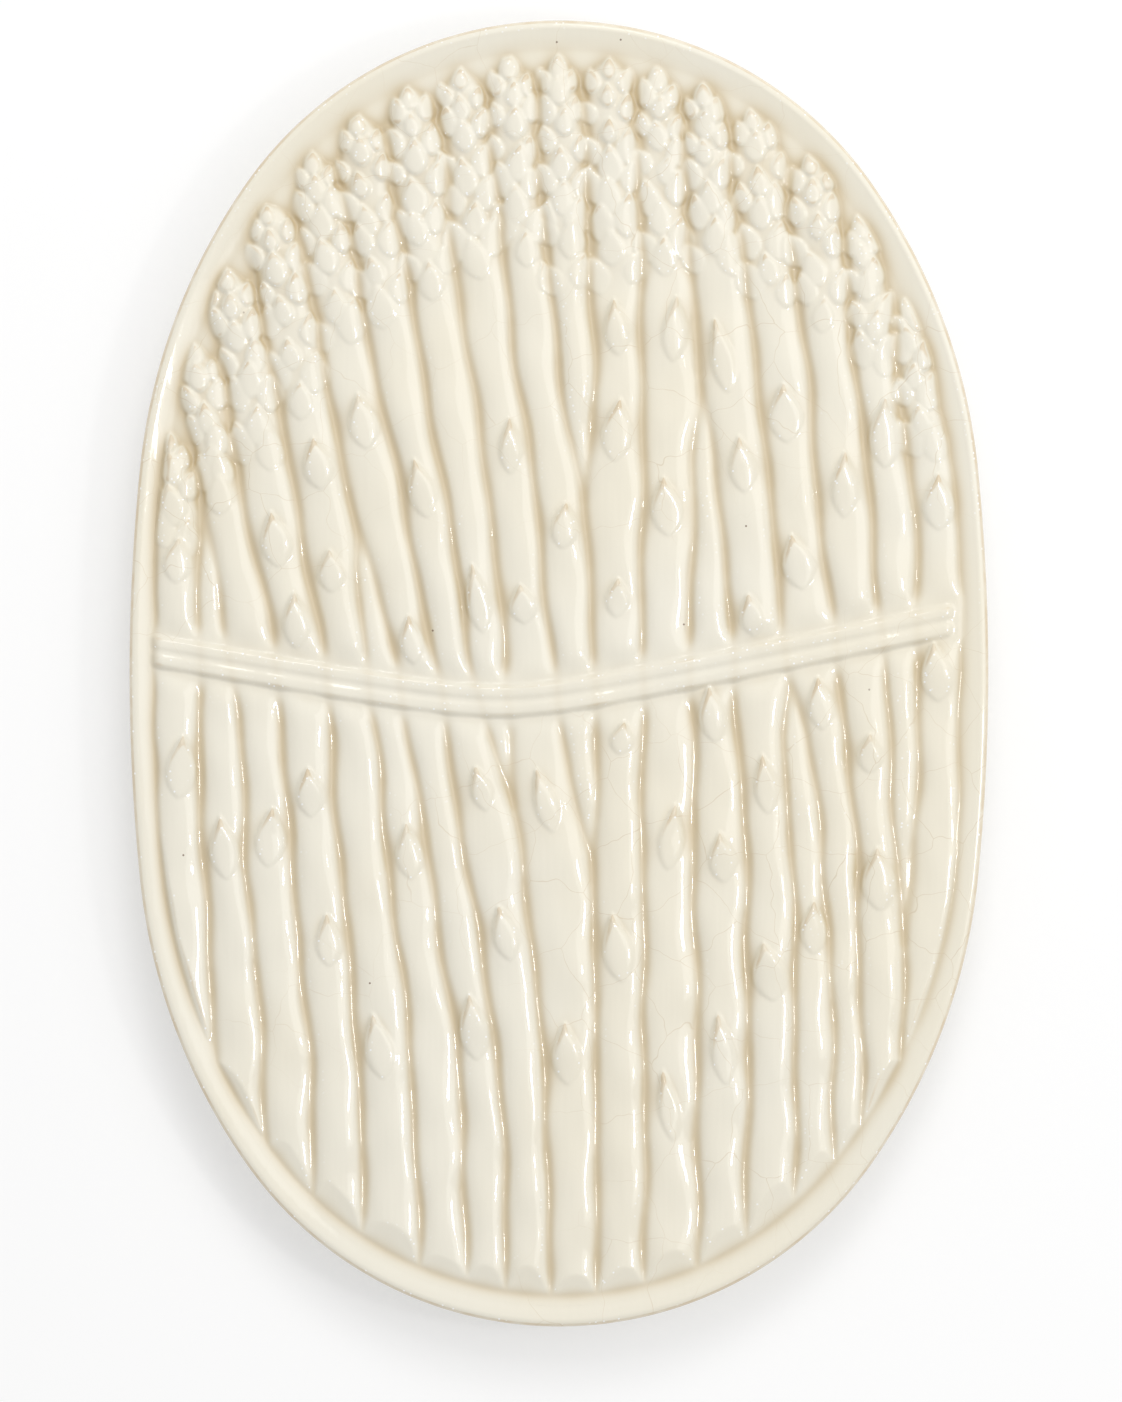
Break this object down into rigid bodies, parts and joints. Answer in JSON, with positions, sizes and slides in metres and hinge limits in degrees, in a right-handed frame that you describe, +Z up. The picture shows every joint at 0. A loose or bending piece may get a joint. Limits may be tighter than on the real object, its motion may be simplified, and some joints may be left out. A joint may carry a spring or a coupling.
{
  "type": "asparagus plate",
  "caption": "Shallow oval earthenware dish on a foot ring, its well filled by a moulded bunch of asparagus spears under a doubled tie, for serving asparagus.",
  "frame": {"origin": "on the resting plane, under the middle of the oval dish", "axes": "+Y along the dish towards the spear tips, +X to the right seen from above, +Z up out of the well"},
  "size_m": [0.25, 0.38, 0.0194],
  "materials": {
    "cream_glaze": "glossy crazed cream glaze"
  },
  "bodies": {
    "root": {"platter_body": "cream_glaze", "foot_ring": "cream_glaze", "tie_strand_upper": "cream_glaze", "tie_strand_lower": "cream_glaze", "spear_01": "cream_glaze", "spear_02": "cream_glaze", "spear_03": "cream_glaze", "spear_04": "cream_glaze", "spear_05": "cream_glaze", "spear_06": "cream_glaze", "spear_07": "cream_glaze", "spear_08": "cream_glaze", "spear_09": "cream_glaze", "spear_10": "cream_glaze", "spear_11": "cream_glaze", "spear_12": "cream_glaze", "spear_13": "cream_glaze", "spear_14": "cream_glaze", "spear_15": "cream_glaze", "spear_16": "cream_glaze", "spear_17": "cream_glaze", "spear_18": "cream_glaze", "spear_19": "cream_glaze", "spear_20": "cream_glaze", "spear_21": "cream_glaze"}
  },
  "joints": []
}
